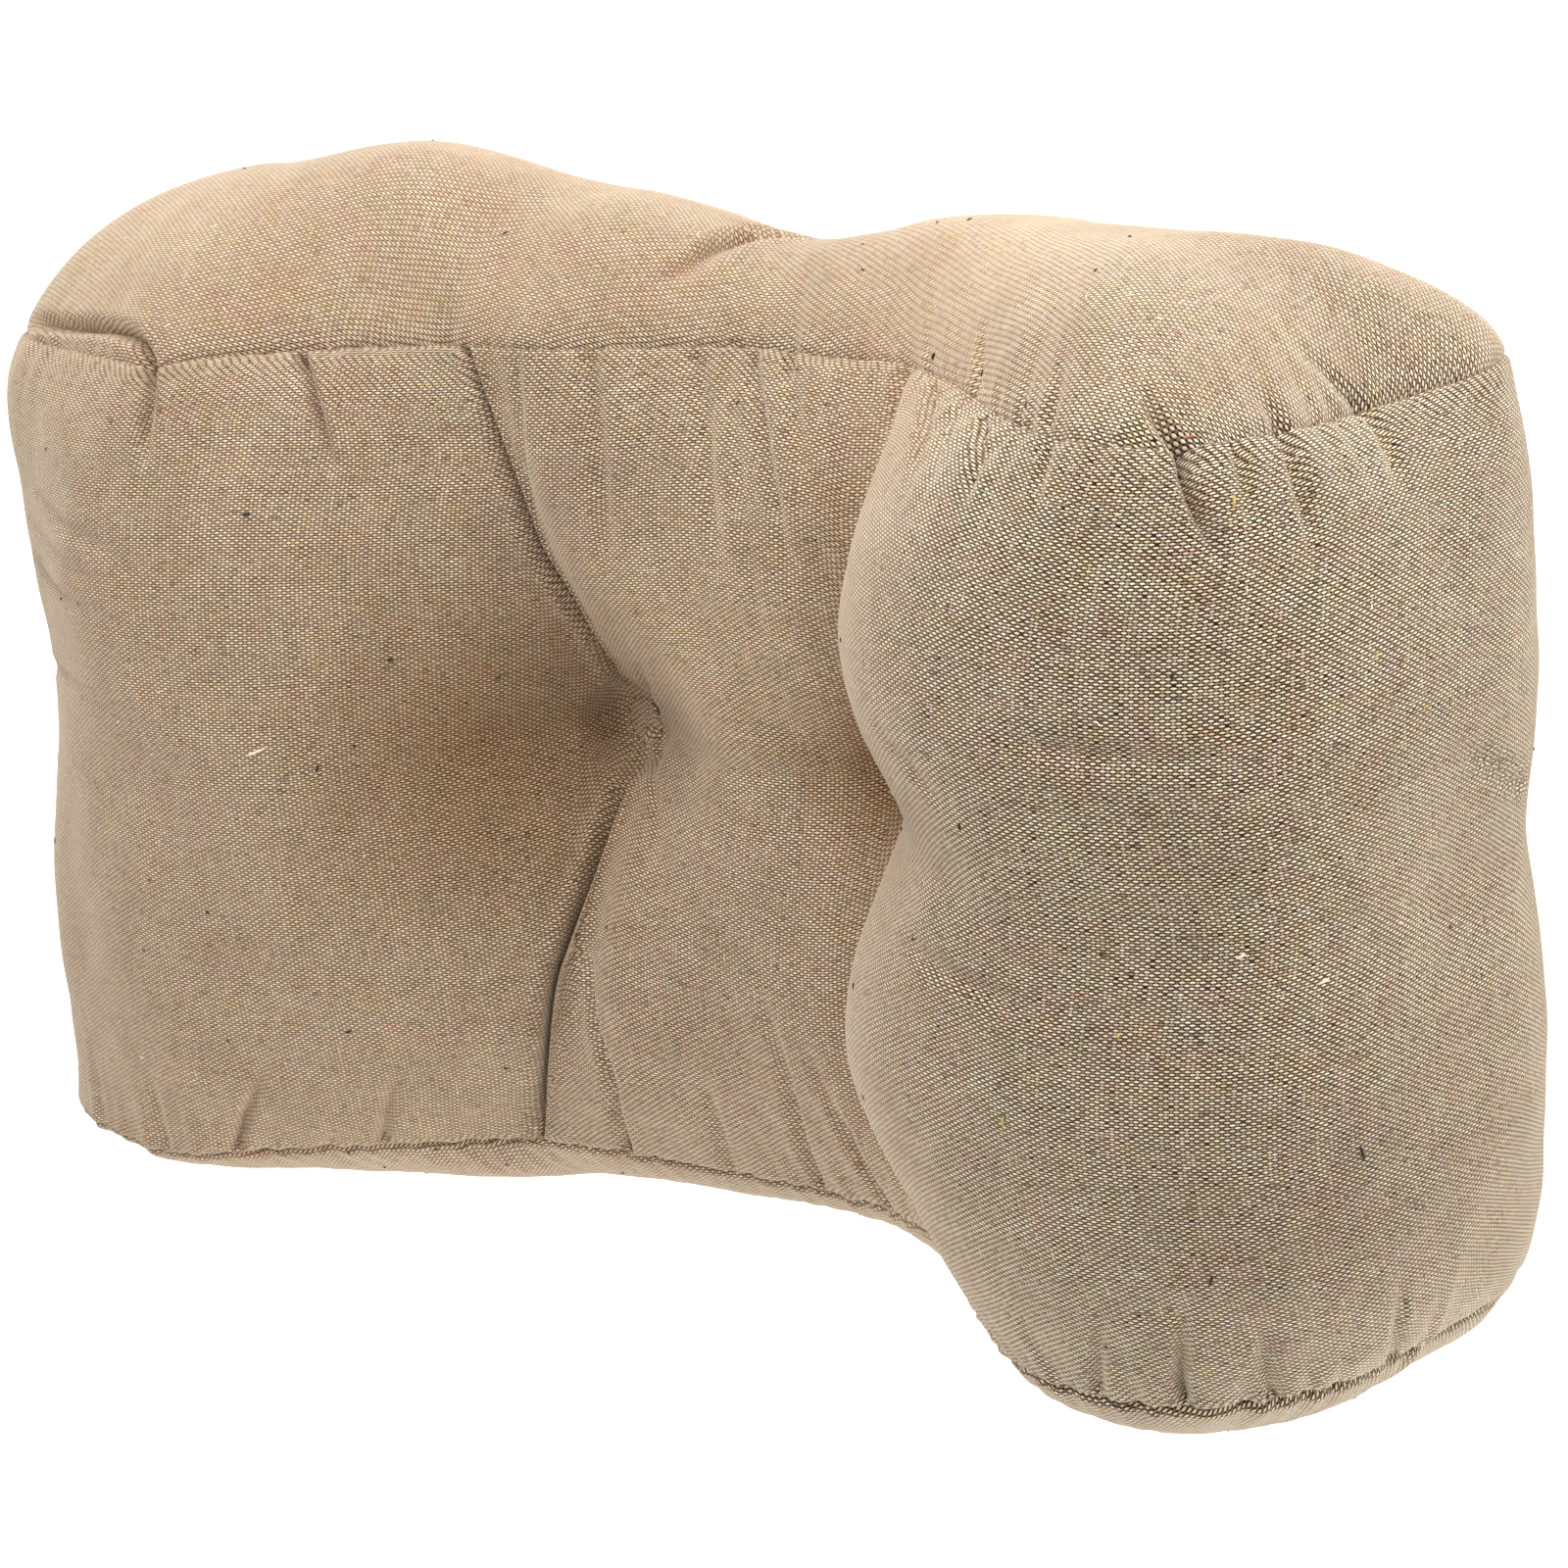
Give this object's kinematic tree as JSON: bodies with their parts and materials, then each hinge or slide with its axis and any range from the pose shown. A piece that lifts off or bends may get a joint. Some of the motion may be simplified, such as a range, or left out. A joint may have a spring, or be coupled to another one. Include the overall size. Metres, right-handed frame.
{
  "type": "lumbar cushion",
  "caption": "Stuffed woven-cloth lumbar cushion with round side lobes, a tufted hollow for the lower back between them and crowned end panels",
  "frame": {"origin": "on the resting surface, under the middle of the cushion's bounding box", "axes": "+X across the lobes, to the right seen from the front; +Y towards the top end panel; +Z out of the front, away from the back that it lies on"},
  "size_m": [0.449, 0.301, 0.1404],
  "materials": {
    "cloth": "coarse undyed cotton and linen plain weave with flecks",
    "thread": "matte sewing thread"
  },
  "bodies": {
    "root": {"body": "cloth", "top_end_panel": "cloth", "bottom_end_panel": "cloth", "tuft_stitching_left": "thread", "tuft_stitching_right": "thread"}
  },
  "joints": []
}
